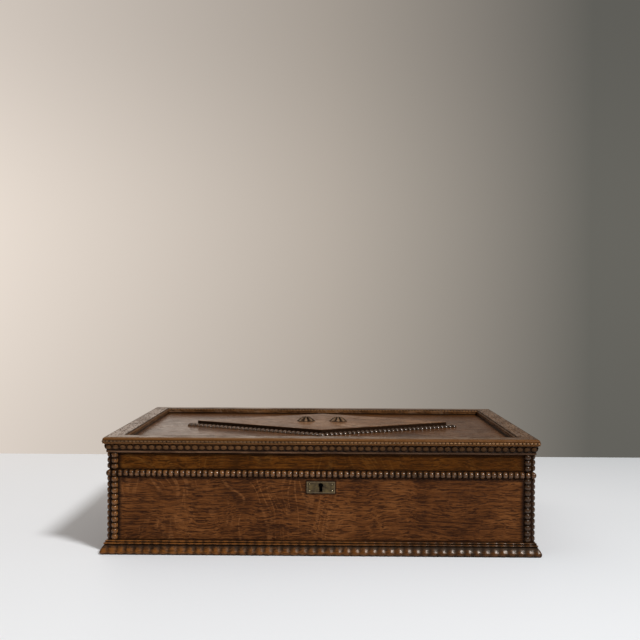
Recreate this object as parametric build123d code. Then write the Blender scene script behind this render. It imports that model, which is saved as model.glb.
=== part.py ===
from build123d import *
import os
from math import radians, tan, cos, sin

# A keepsake box for papers: an oak carcase on a moulded plinth, a hinged lid with a mitred frame,
# a sunk panel and a raised lozenge, and bobbin-turned split mouldings along its edges.
# +X is to the right, the front faces -Y and +Z is up. The origin is on the ground, under the
# middle of the box. All sizes are in millimetres.

# Carcase
body_length = 461.0
body_depth = 340.0
wall = 12.0
rim_height = 91.4
carcase_lift = 1.0
bottom_thickness = 7.0
bottom_lap = 6.0

# Plinth, a splayed skirt under a round astragal
plinth_height = 14.9
plinth_projection = 9.4
plinth_foot_inset = 1.6
plinth_nose_height = 3.2
plinth_nose_sag = 0.55
skirt_top_projection = 4.4
astragal_radius = 2.3
astragal_seat = 3.2

# Bobbin mouldings, turned in the round and split down the middle
bobbin_radius = 3.6
bobbin_waist = 2.3
bobbin_pitch = 6.2
bobbin_crest = 2.6
bobbin_flat_share = 0.55
bobbin_height_share = 0.95
rail_drop = 0.2
corner_inset = 2.3

# Lid walls and cornice
lid_gap = 0.4
frieze_height = 18.6
cornice_height = 10.0
cornice_fillet_height = 2.4
cornice_fillet_projection = 3.0
cornice_top_projection = 5.6
cornice_cove_sag = 1.2

# Lid frame, panel, lozenge and bosses
frame_thickness = 6.9
frame_projection = 6.6
frame_ovolo = 3.0
frame_flat = 17.8
frame_step = 0.9
frame_fillet = 0.4
frame_bead_width = 0.6
frame_bead_height = 2.4
frame_bead_sag = 0.45
panel_thickness = 5.0
panel_clearance = 0.4
lozenge_length = 311.0
lozenge_half_angle = 31.0
lozenge_thickness = 7.0
lozenge_arris = 0.6
boss_spacing = 40.0
boss_radius = 11.6
boss_sides = 12
boss_rim_height = 1.2
boss_shoulder_height = 3.0
boss_shoulder_taper = 46.0
boss_crown_height = 1.8
boss_crown_taper = 64.0

# Hinges
hinge_length = 50.0
hinge_inset = 80.0
hinge_knuckles = 3
knuckle_radius = 2.4
knuckle_gap = 0.2
knuckle_standoff = 0.4
hinge_pin_radius = 1.2
hinge_pin_clearance = 0.05
leaf_thickness = 1.4
leaf_width = 9.0

# Keyhole and escutcheon
keyhole_length = 9.2
keyhole_radius = 2.4
keyhole_slot = 2.9
keyhole_foot = 3.7
keyhole_foot_height = 2.0
escutcheon_length = 30.9
escutcheon_height = 12.6
escutcheon_thickness = 0.8

# Box lock, let into the front wall, and the link plate that it holds
lock_length = 60.0
lock_height = 34.0
lock_plate_thickness = 1.5
selvedge_margin = 1.5
cap_length = 44.0
cap_height = 29.0
cap_wall = 1.2
drill_pin_radius = 0.9
drill_pin_length = 7.5
drill_pin_gap = 1.55
bolt_travel = 5.0
bolt_height = 3.0
bolt_clearance = 1.0
bolt_plate_gap = 0.3
talon_width = 5.0
talon_depth = 1.4
finger_height = 2.5
finger_width = 2.2
stem_length = 3.0
link_plate_length = 48.0
link_plate_thickness = 1.5
staple_spacing = 18.0
staple_thickness = 2.4
staple_width = 5.2
staple_drop = 9.9
staple_bar = 1.8
staple_eye_width = 3.4
staple_eye_height = 5.8
staple_clearance = 0.6

# Levels and reaches that follow from these
half_length = body_length / 2
half_depth = body_depth / 2
rail_height = rim_height - rail_drop - bobbin_radius
corner_top = rail_height - bobbin_radius
lid_foot = rim_height + lid_gap
cornice_foot = lid_foot + frieze_height
frame_foot = cornice_foot + cornice_height
frame_top = frame_foot + frame_thickness
panel_top = frame_foot
lozenge_half_length = lozenge_length / 2
lozenge_half_depth = lozenge_half_length * tan(radians(lozenge_half_angle))
lozenge_top = panel_top + lozenge_thickness
mitre_reach = 40.0
up = Vector(0, 0, 1)

# Each side of the box: the way it faces, how far out its wall stands and half of its run
sides = {
    "front": (Vector(0, -1, 0), half_depth, half_length),
    "back": (Vector(0, 1, 0), half_depth, half_length),
    "left": (Vector(-1, 0, 0), half_length, half_depth),
    "right": (Vector(1, 0, 0), half_length, half_depth),
}
nodes = {}


def block(x_limits, y_limits, z_limits):
    """A plain block between two limits on each axis."""
    low = Vector(x_limits[0], y_limits[0], z_limits[0])
    high = Vector(x_limits[1], y_limits[1], z_limits[1])
    size = high - low
    return Pos((low + high) * 0.5) * Box(size.X, size.Y, size.Z)


def about(middle, width):
    """The two limits of a width about its middle."""
    return (middle - width / 2, middle + width / 2)


# Mitred sides: a profile is drawn as (outward, up) from the wall's outer face


def mitre_wedge(side):
    """The space between the two mitres of one side of the box."""
    outward, distance, half_run = sides[side]
    plan = Polygon(
        (-mitre_reach, mitre_reach - half_run),
        (mitre_reach, -mitre_reach - half_run),
        (mitre_reach, mitre_reach + half_run),
        (-mitre_reach, half_run - mitre_reach),
        align=None,
    )
    plane = Plane(origin=outward * distance, x_dir=outward, z_dir=up)
    return extrude(plane * plan, amount=frame_top + mitre_reach)


def mitred_side(profile, side):
    """Run a profile along one side of the box and mitre both of its ends."""
    outward, distance, half_run = sides[side]
    plane = Plane(origin=outward * distance, x_dir=outward, z_dir=outward.cross(up))
    run = extrude(plane * profile, amount=half_run + mitre_reach, both=True)
    return run & mitre_wedge(side)


def wall_profile(foot, top):
    return Polygon((-wall, foot), (0, foot), (0, top), (-wall, top), align=None)


def plinth_profile():
    """A bullnosed, splayed skirt with an astragal above it."""
    foot = (plinth_projection - plinth_foot_inset, 0)
    nose = (plinth_projection, plinth_nose_height)
    groove = plinth_height - 2 * astragal_radius
    outline = [
        Line((0, 0), foot),
        SagittaArc(foot, nose, -plinth_nose_sag),
        Line(nose, (skirt_top_projection, groove)),
        Line((skirt_top_projection, groove), (astragal_seat, groove)),
        ThreePointArc(
            (astragal_seat, groove),
            (astragal_seat + astragal_radius, groove + astragal_radius),
            (astragal_seat, plinth_height),
        ),
        Line((astragal_seat, plinth_height), (0, plinth_height)),
        Line((0, plinth_height), (0, 0)),
    ]
    return make_face(outline)


def cornice_profile():
    """A square fillet with a cove that spreads out under the lid's frame."""
    cove_foot = (cornice_fillet_projection, cornice_foot + cornice_fillet_height)
    cove_top = (cornice_top_projection, frame_foot)
    outline = [
        Line((0, cornice_foot), (cornice_fillet_projection, cornice_foot)),
        Line((cornice_fillet_projection, cornice_foot), cove_foot),
        SagittaArc(cove_foot, cove_top, cornice_cove_sag),
        Line(cove_top, (0, frame_foot)),
        Line((0, frame_foot), (0, cornice_foot)),
    ]
    return make_face(outline)


def frame_profile():
    """An ovolo outside, a broad flat, then a step, a fillet and a bead over the panel's edge."""
    flat_outer = frame_projection - frame_ovolo
    flat_inner = flat_outer - frame_flat
    fillet_inner = flat_inner - frame_fillet
    opening = fillet_inner - frame_bead_width
    ovolo_foot = (frame_projection, frame_top - frame_ovolo)
    ovolo_middle = frame_ovolo * sin(radians(45))
    fillet_level = frame_top - frame_step
    bead_foot = fillet_level - frame_bead_height
    outline = [
        Line((opening, frame_foot), (frame_projection, frame_foot)),
        Line((frame_projection, frame_foot), ovolo_foot),
        ThreePointArc(
            ovolo_foot,
            (flat_outer + ovolo_middle, frame_top - frame_ovolo + ovolo_middle),
            (flat_outer, frame_top),
        ),
        Line((flat_outer, frame_top), (flat_inner, frame_top)),
        Line((flat_inner, frame_top), (flat_inner, fillet_level)),
        Line((flat_inner, fillet_level), (fillet_inner, fillet_level)),
        SagittaArc((fillet_inner, fillet_level), (opening, bead_foot), -frame_bead_sag),
        Line((opening, bead_foot), (opening, frame_foot)),
    ]
    return make_face(outline)


# Bobbin mouldings


def bobbin_section(station, radius):
    """Half of a turned section: a flat back, and three faces that follow the round."""
    flat = bobbin_flat_share * radius
    height = bobbin_height_share * radius
    return [
        Vector(station, -radius, 0),
        Vector(station, -flat, height),
        Vector(station, flat, height),
        Vector(station, radius, 0),
    ]


def facet(points):
    return Face(Wire.make_polygon(points, close=True))


def bobbin_row(length):
    """A split moulding along +X, flat back down, in a whole number of bobbins."""
    bobbins = max(1, round(length / bobbin_pitch))
    pitch = length / bobbins
    half_crest = min(bobbin_crest, 0.8 * pitch) / 2
    sections = [bobbin_section(0, bobbin_waist)]
    for bobbin in range(bobbins):
        middle = (bobbin + 0.5) * pitch
        sections.append(bobbin_section(middle - half_crest, bobbin_radius))
        sections.append(bobbin_section(middle + half_crest, bobbin_radius))
        sections.append(bobbin_section((bobbin + 1) * pitch, bobbin_waist))
    back = [section[0] for section in sections] + [section[-1] for section in reversed(sections)]
    faces = [facet(sections[0]), facet(sections[-1]), facet(back)]
    for near, far in zip(sections, sections[1:]):
        for edge in range(3):
            faces.append(facet([near[edge], near[edge + 1], far[edge + 1], far[edge]]))
    return Solid(Shell(faces))


def laid(row, start, along, outward):
    """Lay a bobbin row from its start, along a direction, with its round side outward."""
    return Plane(origin=start, x_dir=along, z_dir=outward).location * row


def bobbin_rails():
    """The rails round the rim, mitred at the front corners and cut square at the back."""
    run = body_length + 2 * bobbin_radius
    start = Vector(-run / 2, -half_depth, rail_height)
    front = laid(bobbin_row(run), start, Vector(1, 0, 0), Vector(0, -1, 0))
    nodes["bobbin_rail_front"] = front & mitre_wedge("front")
    side_row = bobbin_row(body_depth + bobbin_radius)
    for side, sign in (("left", -1), ("right", 1)):
        start = Vector(sign * half_length, -half_depth - bobbin_radius, rail_height)
        rail = laid(side_row, start, Vector(0, 1, 0), Vector(sign, 0, 0))
        nodes[f"bobbin_rail_{side}"] = rail & mitre_wedge(side)


def corner_bobbins(prefix, foot, top):
    """Upright split bobbins at the corners: two on the front and two on each side."""
    row = bobbin_row(top - foot)
    set_in = corner_inset + bobbin_radius
    for side, sign in (("left", -1), ("right", 1)):
        start = Vector(sign * (half_length - set_in), -half_depth, foot)
        nodes[f"{prefix}_bobbins_front_{side}"] = laid(row, start, up, Vector(0, -1, 0))
        for end, end_sign in (("front", -1), ("back", 1)):
            start = Vector(sign * half_length, end_sign * (half_depth - set_in), foot)
            nodes[f"{prefix}_bobbins_{side}_{end}"] = laid(row, start, up, Vector(sign, 0, 0))


# Carcase and plinth


def carcase():
    """Four mitred walls, with a bottom board let in from below."""
    bottom_top = carcase_lift + bottom_thickness
    reach_x = half_length - wall + bottom_lap
    reach_y = half_depth - wall + bottom_lap
    bottom = block((-reach_x, reach_x), (-reach_y, reach_y), (carcase_lift, bottom_top))
    for side in sides:
        nodes[f"{side}_board"] = mitred_side(wall_profile(carcase_lift, rim_height), side) - bottom
        nodes[f"plinth_{side}"] = mitred_side(plinth_profile(), side)
    nodes["bottom_board"] = bottom


# Lid


def lid():
    """Mitred walls, cornice and frame, and a panel glued up under the frame, between the walls."""
    for side in sides:
        nodes[f"lid_frieze_{side}"] = mitred_side(wall_profile(lid_foot, frame_foot), side)
        nodes[f"cornice_{side}"] = mitred_side(cornice_profile(), side)
        nodes[f"lid_frame_{side}"] = mitred_side(frame_profile(), side)
    reach_x = half_length - wall - panel_clearance
    reach_y = half_depth - wall - panel_clearance
    panel_foot = panel_top - panel_thickness
    nodes["lid_panel"] = block((-reach_x, reach_x), (-reach_y, reach_y), (panel_foot, panel_top))


def lozenge():
    """A raised lozenge on the panel, with a bobbin row mitred along each of its edges."""
    outline = Polygon(
        (lozenge_half_length, 0),
        (0, lozenge_half_depth),
        (-lozenge_half_length, 0),
        (0, -lozenge_half_depth),
        align=None,
    )
    slab = extrude(Pos(0, 0, panel_top) * outline, amount=lozenge_thickness)
    nodes["lozenge"] = chamfer(slab.faces().sort_by(Axis.Z)[-1].edges(), length=lozenge_arris)

    half_angle = radians(lozenge_half_angle)
    tip = lozenge_half_length + 2 * bobbin_radius / sin(half_angle)
    row = bobbin_row(tip / cos(half_angle))
    for end, end_sign in (("front", -1), ("back", 1)):
        for side, sign in (("left", -1), ("right", 1)):
            along = Vector(-sign * cos(half_angle), end_sign * sin(half_angle), 0)
            inward = Vector(-sign * sin(half_angle), -end_sign * cos(half_angle), 0)
            start = Vector(sign * tip, 0, panel_top) + inward * bobbin_radius
            quarter_x = (0, sign * 2 * tip)
            quarter_y = (0, end_sign * 2 * tip)
            quarter = block(
                (min(quarter_x), max(quarter_x)),
                (min(quarter_y), max(quarter_y)),
                (panel_top, lozenge_top),
            )
            nodes[f"lozenge_bobbins_{end}_{side}"] = laid(row, start, along, up) & quarter


def bosses():
    """Two low bosses on the lozenge, side by side: a rim, a sloping shoulder and a flatter crown."""
    shoulder_radius = boss_radius - boss_shoulder_height * tan(radians(boss_shoulder_taper))
    shoulder_foot = boss_rim_height
    crown_foot = shoulder_foot + boss_shoulder_height
    boss = extrude(RegularPolygon(boss_radius, boss_sides), amount=boss_rim_height)
    shoulder = Pos(0, 0, shoulder_foot) * RegularPolygon(boss_radius, boss_sides)
    boss += extrude(shoulder, amount=boss_shoulder_height, taper=boss_shoulder_taper)
    crown = Pos(0, 0, crown_foot) * RegularPolygon(shoulder_radius, boss_sides)
    boss += extrude(crown, amount=boss_crown_height, taper=boss_crown_taper)
    for side, sign in (("left", -1), ("right", 1)):
        nodes[f"boss_{side}"] = Pos(sign * boss_spacing / 2, 0, lozenge_top) * boss


# Hinges

hinge_axis_y = half_depth + knuckle_standoff + knuckle_radius
hinge_axis_z = rim_height + lid_gap / 2


def rod(radius, x_limits):
    """A round bar along the hinge line."""
    length = x_limits[1] - x_limits[0]
    middle = (x_limits[0] + x_limits[1]) / 2
    return Pos(middle, hinge_axis_y, hinge_axis_z) * Rot(0, 90, 0) * Cylinder(radius, length)


def hinge_leaf(middle, leaf_limits, first_knuckle):
    """A leaf with every second knuckle, from the first that it carries."""
    start = middle - hinge_length / 2
    knuckle = hinge_length / hinge_knuckles
    plate = block(about(middle, hinge_length), (half_depth - leaf_width, half_depth), leaf_limits)
    leaf = plate
    for index in range(first_knuckle, hinge_knuckles, 2):
        limits = (start + index * knuckle + knuckle_gap / 2, start + (index + 1) * knuckle - knuckle_gap / 2)
        leaf += block(limits, (half_depth, hinge_axis_y), leaf_limits) + rod(knuckle_radius, limits)
    bore = rod(hinge_pin_radius + hinge_pin_clearance, about(middle, hinge_length))
    return leaf - bore, plate


def hinges():
    """Two butt hinges, let into the back walls of the base and the lid."""
    for side, sign in (("left", -1), ("right", 1)):
        middle = sign * (half_length - hinge_inset)
        base_leaf, base_recess = hinge_leaf(middle, (rim_height - leaf_thickness, rim_height), 0)
        lid_leaf, lid_recess = hinge_leaf(middle, (lid_foot, lid_foot + leaf_thickness), 1)
        nodes[f"hinge_leaf_base_{side}"] = base_leaf
        nodes[f"hinge_leaf_lid_{side}"] = lid_leaf
        nodes[f"hinge_pin_{side}"] = rod(hinge_pin_radius, about(middle, hinge_length - knuckle_gap))
        nodes["back_board"] = nodes["back_board"] - base_recess
        nodes["lid_frieze_back"] = nodes["lid_frieze_back"] - lid_recess


# Lock

plate_inner = -half_depth + wall
plate_outer = plate_inner - lock_plate_thickness
plate_y = (plate_outer, plate_inner)
selvedge_y = (-half_depth + selvedge_margin, plate_inner)
selvedge_foot = rim_height - lock_plate_thickness
staple_y = plate_outer - staple_clearance - staple_width / 2
staple_foot = lid_foot - staple_drop
eye_foot = staple_foot + staple_bar
bolt_top = staple_foot - bolt_clearance
bolt_foot = bolt_top - bolt_height
cap_front = plate_outer - staple_width - 2 * staple_clearance - cap_wall
drill_pin_z = bolt_foot - drill_pin_gap - drill_pin_radius
keyhole_z = drill_pin_z + keyhole_radius - keyhole_length / 2
staples_x = (-staple_spacing / 2, staple_spacing / 2)


def keyhole():
    """The way in for the key: a round hole over a slot that flares at its foot."""
    foot = keyhole_z - keyhole_length / 2
    shape = Pos(0, drill_pin_z) * Circle(keyhole_radius)
    shape += Polygon(
        (-keyhole_slot / 2, drill_pin_z),
        (-keyhole_slot / 2, foot + keyhole_foot_height),
        (-keyhole_foot / 2, foot),
        (keyhole_foot / 2, foot),
        (keyhole_slot / 2, foot + keyhole_foot_height),
        (keyhole_slot / 2, drill_pin_z),
        align=None,
    )
    face = Plane(origin=(0, staple_y, 0), x_dir=(1, 0, 0), z_dir=(0, -1, 0)) * shape
    return extrude(face, amount=half_depth + staple_y + 2 * escutcheon_thickness)


def escutcheon():
    """A plain rectangular plate on the front, round the keyhole."""
    y_limits = (-half_depth - escutcheon_thickness, -half_depth)
    plate = block(about(0, escutcheon_length), y_limits, about(keyhole_z, escutcheon_height))
    nodes["escutcheon"] = plate - keyhole()


def lock_case():
    """A back plate with its selvedge, the cap that covers the works, and the drill pin."""
    back = block(about(0, lock_length), plate_y, (rim_height - lock_height, rim_height))
    selvedge = block(about(0, lock_length), selvedge_y, (selvedge_foot, rim_height))
    plate = back + selvedge
    for x in staples_x:
        slot_y = about(staple_y, staple_width + 2 * staple_clearance)
        slot = block(about(x, staple_thickness + 2 * staple_clearance), slot_y, (selvedge_foot, rim_height))
        plate -= slot
    nodes["lock_plate"] = plate

    cap_z = (selvedge_foot - cap_height, selvedge_foot)
    shell = block(about(0, cap_length), (cap_front, plate_outer), cap_z)
    inside_z = (cap_z[0] + cap_wall, cap_z[1])
    inside = block(about(0, cap_length - 2 * cap_wall), (cap_front + cap_wall, plate_outer), inside_z)
    nodes["lock_cap"] = shell - inside - keyhole()

    pin = Rot(90, 0, 0) * Cylinder(drill_pin_radius, drill_pin_length)
    nodes["drill_pin"] = Pos(0, plate_outer - drill_pin_length / 2, drill_pin_z) * pin
    nodes["front_board"] = nodes["front_board"] - back - selvedge - shell - keyhole()


def lock_bolt():
    """A sliding bar with two hooked fingers, shown drawn back from the staples."""
    finger_y = about(staple_y, finger_width)
    bolt_y = (finger_y[0], plate_outer - bolt_plate_gap)
    finger_foot = eye_foot + bolt_clearance
    finger_z = (finger_foot, finger_foot + finger_height)
    tips = [x - staple_thickness / 2 - staple_clearance for x in staples_x]
    stems = [(tip - bolt_travel - stem_length, tip - bolt_travel) for tip in tips]
    bolt = block((stems[0][0], stems[-1][1]), bolt_y, (bolt_foot, bolt_top))
    for tip, stem in zip(tips, stems):
        bolt += block(stem, bolt_y, (bolt_top, finger_z[1]))
        bolt += block((stem[1], tip), finger_y, finger_z)
    talon = block(about(-bolt_travel / 2, talon_width), bolt_y, (bolt_foot, bolt_foot + talon_depth))
    nodes["lock_bolt"] = bolt - talon


def link_plate():
    """A plate under the lid's front wall, with two eyed staples riveted up against it for the bolt."""
    plate_limits = (-half_depth + selvedge_margin, plate_inner - selvedge_margin)
    plate = block(about(0, link_plate_length), plate_limits, (lid_foot, lid_foot + link_plate_thickness))
    nodes["link_plate"] = plate
    nodes["lid_frieze_front"] = nodes["lid_frieze_front"] - plate
    eye_z = (eye_foot, eye_foot + staple_eye_height)
    for side, x in zip(("left", "right"), staples_x):
        staple = block(about(x, staple_thickness), about(staple_y, staple_width), (staple_foot, lid_foot))
        eye = block(about(x, staple_thickness), about(staple_y, staple_eye_width), eye_z)
        nodes[f"staple_{side}"] = staple - eye


carcase()
bobbin_rails()
corner_bobbins("base", plinth_height, corner_top)
lid()
corner_bobbins("lid", lid_foot, cornice_foot)
lozenge()
bosses()
hinges()
lock_case()
lock_bolt()
link_plate()
escutcheon()

os.makedirs("parts", exist_ok=True)
for name, solid in nodes.items():
    export_step(solid, f"parts/{name}.step")
print(len(nodes), "nodes")
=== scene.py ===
from math import cos, pi, radians, sin, sqrt, tan

import bmesh
import bpy
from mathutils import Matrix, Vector


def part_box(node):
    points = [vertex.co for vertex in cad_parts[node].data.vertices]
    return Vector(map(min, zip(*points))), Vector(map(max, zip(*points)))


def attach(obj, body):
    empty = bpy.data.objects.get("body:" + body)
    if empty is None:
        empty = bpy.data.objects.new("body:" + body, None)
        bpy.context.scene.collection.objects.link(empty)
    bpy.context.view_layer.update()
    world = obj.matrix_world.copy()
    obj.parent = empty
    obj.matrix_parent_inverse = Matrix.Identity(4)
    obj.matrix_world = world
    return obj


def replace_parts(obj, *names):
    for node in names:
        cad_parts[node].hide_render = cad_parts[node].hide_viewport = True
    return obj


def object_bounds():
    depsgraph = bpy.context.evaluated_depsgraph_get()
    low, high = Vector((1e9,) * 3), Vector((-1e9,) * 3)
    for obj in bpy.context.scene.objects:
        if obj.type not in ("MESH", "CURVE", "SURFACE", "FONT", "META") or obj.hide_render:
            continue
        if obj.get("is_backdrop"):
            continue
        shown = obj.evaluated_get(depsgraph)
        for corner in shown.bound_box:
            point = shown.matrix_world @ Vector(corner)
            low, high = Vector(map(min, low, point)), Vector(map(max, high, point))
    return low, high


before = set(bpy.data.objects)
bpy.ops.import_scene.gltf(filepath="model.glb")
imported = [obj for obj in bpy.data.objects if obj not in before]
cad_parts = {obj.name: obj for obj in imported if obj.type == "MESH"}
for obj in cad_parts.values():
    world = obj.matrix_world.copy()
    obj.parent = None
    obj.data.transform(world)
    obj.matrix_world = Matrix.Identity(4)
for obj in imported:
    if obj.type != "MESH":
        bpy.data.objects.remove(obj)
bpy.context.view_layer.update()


# ---- Carcase ----
# Four quarter-sawn oak boards, mitred at the corners, with a bottom board let in from below. The
# outside is stained and waxed, so that the rays of the oak show; the inside is bare, aged oak.

MM = 0.001
front_low, front_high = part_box("front_board")
half_length = front_high.x
half_depth = -front_low.y
wall = front_high.y - front_low.y
rim = front_high.z
STAINED = (0.025, 0.0078, 0.0022), (0.097, 0.0316, 0.0074), (0.170, 0.0615, 0.0165)
PALE_RAY = (0.205, 0.078, 0.024)
BARE_OAK = (0.20, 0.125, 0.065), (0.125, 0.070, 0.033)
BARE_PORE = (0.060, 0.032, 0.015)
# Painted shade along mouldings and round the escutcheon, and painted shade on the lozenge's sides.
JOINT_SHADE = (0.006, 0.0025, 0.0012)
SIDE_SHADE = (0.017, 0.0075, 0.0032)
OAK_STOPS = (0.41, 0.50, 0.60)
GRAIN_STRETCH = {"x": (0.09, 1, 1), "y": (1, 0.09, 1), "z": (1, 1, 0.09)}
LINE_STRETCH = {"x": (0.3, 1, 1), "y": (1, 0.3, 1), "z": (1, 1, 0.3)}


class Field:
    """A socket inside a material's nodes, so that shader maths reads as an expression."""

    def __init__(self, tree, socket):
        self.tree = tree
        self.socket = socket

    def node(self, kind, inputs, out=0, stops=None, **settings):
        """Add a node of a type with its settings, and give its sockets values or links."""
        made = self.tree.nodes.new(kind)
        for setting, value in settings.items():
            setattr(made, setting, value)
        if stops:
            ramp = made.color_ramp.elements
            while len(ramp) < len(stops):
                ramp.new(1.0)
            for element, (position, colour) in zip(ramp, stops):
                element.position = position
                element.color = (*colour, 1)
        for key, value in inputs.items():
            socket = made.inputs[key]
            if isinstance(value, Field):
                self.tree.links.new(value.socket, socket)
            else:
                socket.default_value = (*value, 1) if socket.type == "RGBA" else value
        return Field(self.tree, made.outputs[out])

    def maths(self, operation, *values):
        return self.node("ShaderNodeMath", dict(enumerate(values)), operation=operation)

    def __add__(self, other):
        return self.maths("ADD", self, other)

    def __sub__(self, other):
        return self.maths("SUBTRACT", self, other)

    def __rsub__(self, other):
        return self.maths("SUBTRACT", other, self)

    def __mul__(self, other):
        return self.maths("MULTIPLY", self, other)

    def __abs__(self):
        return self.maths("ABSOLUTE", self)

    __radd__ = __add__
    __rmul__ = __mul__

    def rise(self, low, high):
        """0 up to low and 1 from high on, with a smooth step between them."""
        limits = {"Value": self, "From Min": low, "From Max": high}
        return self.node("ShaderNodeMapRange", limits, interpolation_type="SMOOTHSTEP")

    def band(self, middle, core, edge):
        """1 within the core distance of a value, falling to 0 at the edge distance."""
        return 1 - abs(self - middle).rise(core, edge)

    def mix(self, first, second):
        """The first colour where this mask is 0 and the second where it is 1."""
        return self.node("ShaderNodeMix", {0: self, 6: first, 7: second}, out=2, data_type="RGBA")

    def length(self):
        return self.node("ShaderNodeVectorMath", {0: self}, out=1, operation="LENGTH")

    def noise(self, scale, detail=3.0, roughness=0.55):
        """Noise at this place."""
        sockets = {"Vector": self, "Scale": scale, "Detail": detail, "Roughness": roughness}
        return self.node("ShaderNodeTexNoise", sockets)

    def moved(self, shift):
        """This place, moved by a vector or by one amount along every axis."""
        return self.node("ShaderNodeVectorMath", {0: self, 1: shift}, operation="ADD")

    def stretch(self, scale, shift=(0, 0, 0)):
        """This place, shifted, with each axis scaled by its own factor."""
        return self.node("ShaderNodeVectorMath", {0: self.moved(shift), 1: scale}, operation="MULTIPLY")

    def axes(self):
        split = self.tree.nodes.new("ShaderNodeSeparateXYZ")
        self.tree.links.new(self.socket, split.inputs[0])
        return [Field(self.tree, output) for output in split.outputs]


def greater(first, second):
    return first.maths("MAXIMUM", first, second)


def oak_tones(tone, colours):
    """The dark, middle and pale colours of a board, by its tone."""
    return tone.node("ShaderNodeValToRGB", {0: tone}, stops=list(zip(OAK_STOPS, colours)))


def new_material(name):
    """An empty material: the place on the object, and a call that fills in its shader."""
    material = bpy.data.materials.new(name)
    material.use_nodes = True
    tree = material.node_tree
    shader = tree.nodes["Principled BSDF"]
    place = Field(tree, tree.nodes.new("ShaderNodeTexCoord").outputs["Object"])

    def fill(relief=None, depth=0.0, **sockets):
        if relief is not None:
            sockets["Normal"] = place.node("ShaderNodeBump", {"Height": relief, "Distance": depth})
        for socket_name, value in sockets.items():
            socket = shader.inputs[socket_name.replace("_", " ")]
            if isinstance(value, Field):
                tree.links.new(value.socket, socket)
            else:
                socket.default_value = value
        return material

    return place, fill


def oak_figure(place, along, shift):
    """Fibre, pores, growth rings and the slow drift of tone, drawn out along the grain."""
    sway = (place.noise(9, 2) - 0.5) * 0.020 + (place.noise(34, 1) - 0.5) * 0.006
    grain = place.moved(sway).stretch(GRAIN_STRETCH[along], shift)
    fibre = grain.noise(1500, 4, 0.65)
    pores = grain.moved((3, 5, 7)).noise(760, 2, 0.6).rise(0.53, 0.60)
    broad = grain.moved((9, 2, 4)).noise(230, 4, 0.7)
    fine = grain.stretch(LINE_STRETCH[along], (5, 1, 8)).noise(640, 2, 0.5)
    rings = broad * 0.35 + fine * 0.65
    drift = place.moved(shift).noise(22, 3)
    return fibre, pores, rings, drift


def medullary_rays(place, along, shift, slant):
    """Pale ribbons that cross the grain of quarter-sawn oak, curved, patchy and broken."""
    shifted = place.moved(shift)
    x, y, z = shifted.axes()
    run = {"x": x, "y": y, "z": z}[along]
    across = {"x": z + y, "y": z + x, "z": x + y}[along]
    bend = (shifted.noise(12, 1) - 0.5) * 0.10
    ribbon = place.node("ShaderNodeCombineXYZ", {0: run + bend + across * slant, 1: across * 0.10, 2: 0.0})
    thin = ribbon.noise(80, 1, 0.5)
    ribbons = thin.band(0.5, 0.006, 0.046) * 0.8 + thin.rise(0.64, 0.72) * 0.7
    patches = place.moved((2, 4, 6)).noise(26, 3).rise(0.42, 0.60)
    return ribbons * patches


def within_walls(x, y):
    """1 inside the walls of the box, where its boards are bare."""
    within_x = (half_length - wall + 0.3 * MM - abs(x)).rise(0, 0.1 * MM)
    within_y = (half_depth - wall + 0.3 * MM - abs(y)).rise(0, 0.1 * MM)
    return within_x * within_y


def joint_shade(x, y, z, along, between):
    """1 on a board's outer face along the mouldings that frame it, where shade is painted, deepest just under
    the moulding above.
    """
    run, half_run = (x, half_length) if along == "x" else (y, half_depth)
    clear = z.rise(between[0] - 0.6 * MM, between[0] + 2.6 * MM)
    clear = clear * (1 - z.rise(between[1] - 5.5 * MM, between[1] + 1.0 * MM))
    clear = clear * (1 - abs(run).rise(half_run - 15.0 * MM, half_run - 10.0 * MM))
    face = greater(abs(x) - half_length, abs(y) - half_depth).rise(-0.5 * MM, -0.3 * MM)
    return (1 - clear) * face


def plate_shade(x, z, plate):
    """1 on the wood close round a metal plate, where shade is painted."""
    middle, half = (plate[0] + plate[1]) / 2, (plate[1] - plate[0]) / 2
    return 1 - greater(abs(x - middle.x) - half.x, abs(z - middle.z) - half.z).rise(0.4 * MM, 2.4 * MM)


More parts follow.
